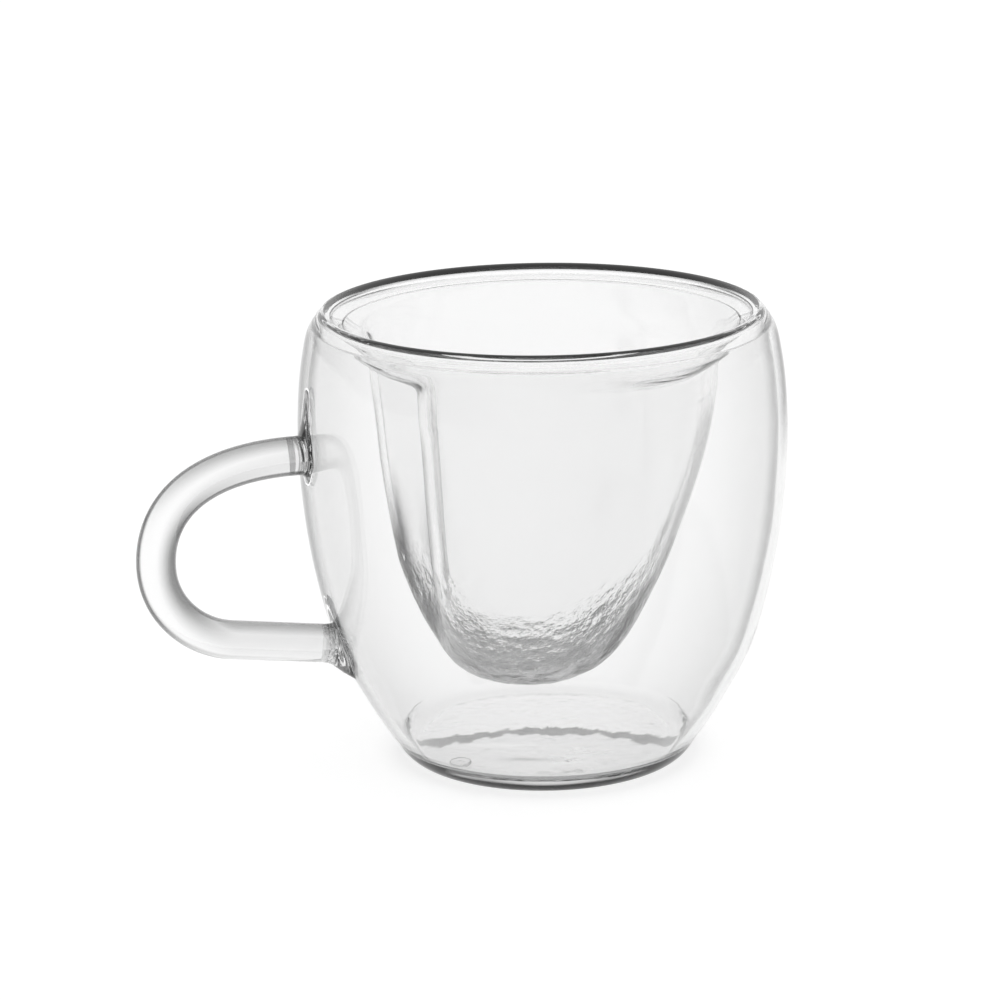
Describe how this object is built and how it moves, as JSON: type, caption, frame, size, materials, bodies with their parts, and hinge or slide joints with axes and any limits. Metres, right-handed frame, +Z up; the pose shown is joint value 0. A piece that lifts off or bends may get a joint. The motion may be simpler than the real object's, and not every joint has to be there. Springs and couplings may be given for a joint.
{
  "type": "double-walled glass cup",
  "caption": "Clear double-walled glass cup: round outer wall, inner bowl with a soft heart-shaped section hung from a fused lip, thick base and a bent glass-rod handle.",
  "frame": {"origin": "centre of the flat underside of the base, on the cup's axis", "axes": "+Z up along the cup's axis, -X along the handle, +Y across it"},
  "size_m": [0.1295, 0.0958, 0.09],
  "materials": {
    "wall_glass": "clear, fire-polished, faintly wavy",
    "bowl_glass": "clear, rippled near the bottom",
    "lip_glass": "clear, fire-polished",
    "base_glass": "clear, thick, slightly uneven on its upper face",
    "vent_glass": "clear, fused",
    "handle_glass": "clear, solid rod",
    "weld_glass": "clear, fused, with small bubbles"
  },
  "bodies": {
    "root": {"outer_shell": "wall_glass", "inner_bowl": "bowl_glass", "rim_bead": "lip_glass", "base_disc": "base_glass", "vent_plug": "vent_glass", "handle_rod": "handle_glass", "upper_handle_weld": "weld_glass", "lower_handle_weld": "weld_glass"}
  },
  "joints": []
}
